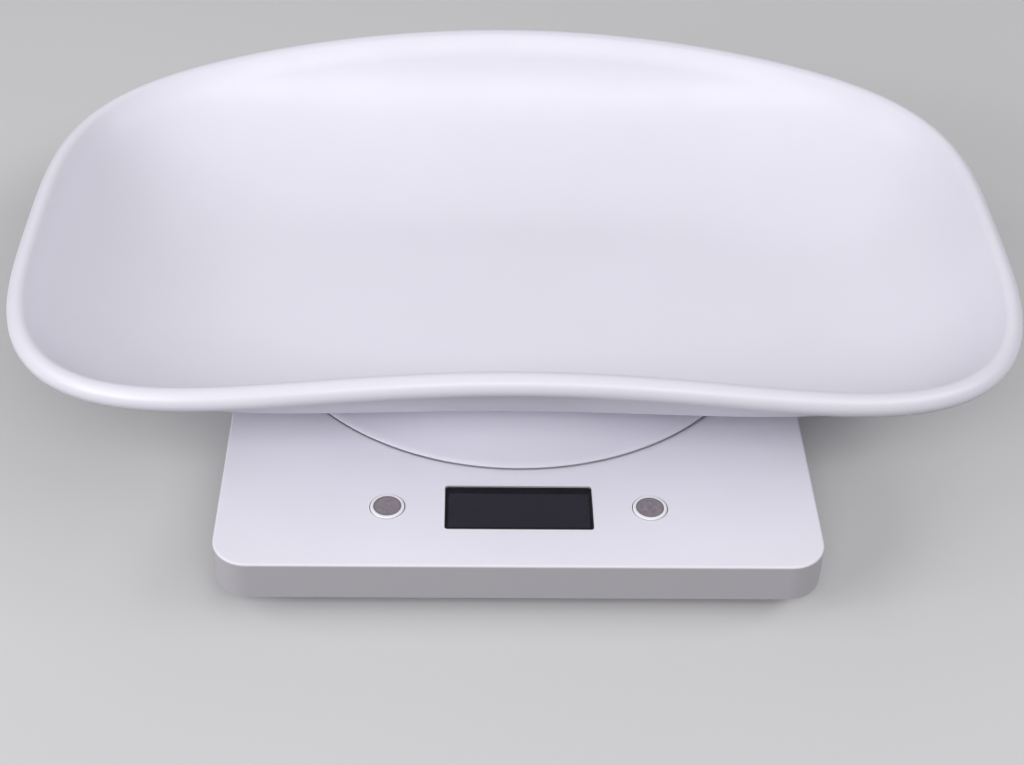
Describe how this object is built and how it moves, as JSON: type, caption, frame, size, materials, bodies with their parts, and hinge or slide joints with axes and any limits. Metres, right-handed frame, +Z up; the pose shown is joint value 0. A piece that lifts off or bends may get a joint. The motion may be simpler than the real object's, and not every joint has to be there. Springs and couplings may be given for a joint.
{
  "type": "pet scale",
  "caption": "Flat electronic scale with a lift-off trough tray on a round foot, a dark display window and round press keys, for weighing small pets and birds.",
  "frame": {"origin": "on the table, below the middle of the whole scale with its tray", "axes": "+X to the right along the tray's length, +Y to the back away from the display, +Z up"},
  "size_m": [0.304, 0.213, 0.0689],
  "materials": {
    "tray_white": "satin moulded white",
    "casing_white": "satin moulded white",
    "pan_white": "fine matt moulded white",
    "platform_white": "matt moulded white",
    "key_white": "satin white",
    "key_grey": "matt grey",
    "window_smoke": "polished dark",
    "lcd_glass": "bonded glass",
    "frame_black": "matt black",
    "connector_rubber": "soft",
    "board_green": "lacquered",
    "chip_resin": "cast black resin",
    "switch_black": "matt black",
    "pad_rubber": "matt grey",
    "cell_aluminium": "milled",
    "spacer_aluminium": "milled",
    "carrier_steel": "zinc plated",
    "screw_steel": "zinc plated",
    "contact_steel": "nickel plated",
    "battery_jacket": "printed film jacket"
  },
  "bodies": {
    "base": {"top_cover": "casing_white", "bottom_cover": "pan_white", "display_window": "window_smoke", "lcd_panel": "lcd_glass", "lcd_frame": "frame_black", "lcd_connector": "connector_rubber", "main_board": "board_green", "board_screws": "screw_steel", "chip_cover": "chip_resin", "key_switch_bodies": "switch_black", "load_cell": "cell_aluminium", "cell_fixed_screws": "screw_steel", "foot_pads": "pad_rubber", "housing_screws": "screw_steel", "battery_cells": "battery_jacket", "battery_springs": "contact_steel", "battery_contacts": "contact_steel"},
    "platform_unit": {"platform": "platform_white", "platform_carrier": "carrier_steel", "carrier_screws": "screw_steel", "cell_spacer": "spacer_aluminium", "cell_free_screws": "screw_steel"},
    "tray_unit": {"tray": "tray_white"},
    "left_key": {"left_key_cap": "key_white", "left_key_pad": "key_grey", "left_key_plunger": "switch_black"},
    "right_key": {"right_key_cap": "key_white", "right_key_pad": "key_grey", "right_key_plunger": "switch_black"},
    "battery_door_unit": {"battery_door": "pan_white"}
  },
  "joints": [
    {"name": "platform_press", "type": "slide", "parent": "base", "child": "platform_unit", "axis": [0, 0, -1], "range_m": [0, 0.0005], "stiffness_N_per_m": 196000, "springref_m": -0.00001, "deforming": ["load_cell"]},
    {"name": "tray_lift", "type": "slide", "parent": "platform_unit", "child": "tray_unit", "axis": [0, 0, 1], "range_m": [0, 0.08]},
    {"name": "left_key_press", "type": "slide", "parent": "base", "child": "left_key", "axis": [0, 0, -1], "range_m": [0, 0.0005], "stiffness_N_per_m": 300, "springref_m": -0.0005},
    {"name": "right_key_press", "type": "slide", "parent": "base", "child": "right_key", "axis": [0, 0, -1], "range_m": [0, 0.0005], "stiffness_N_per_m": 300, "springref_m": -0.0005},
    {"name": "battery_door_slide", "type": "slide", "parent": "base", "child": "battery_door_unit", "axis": [0, 1, 0], "range_m": [0, 0.026]}
  ]
}
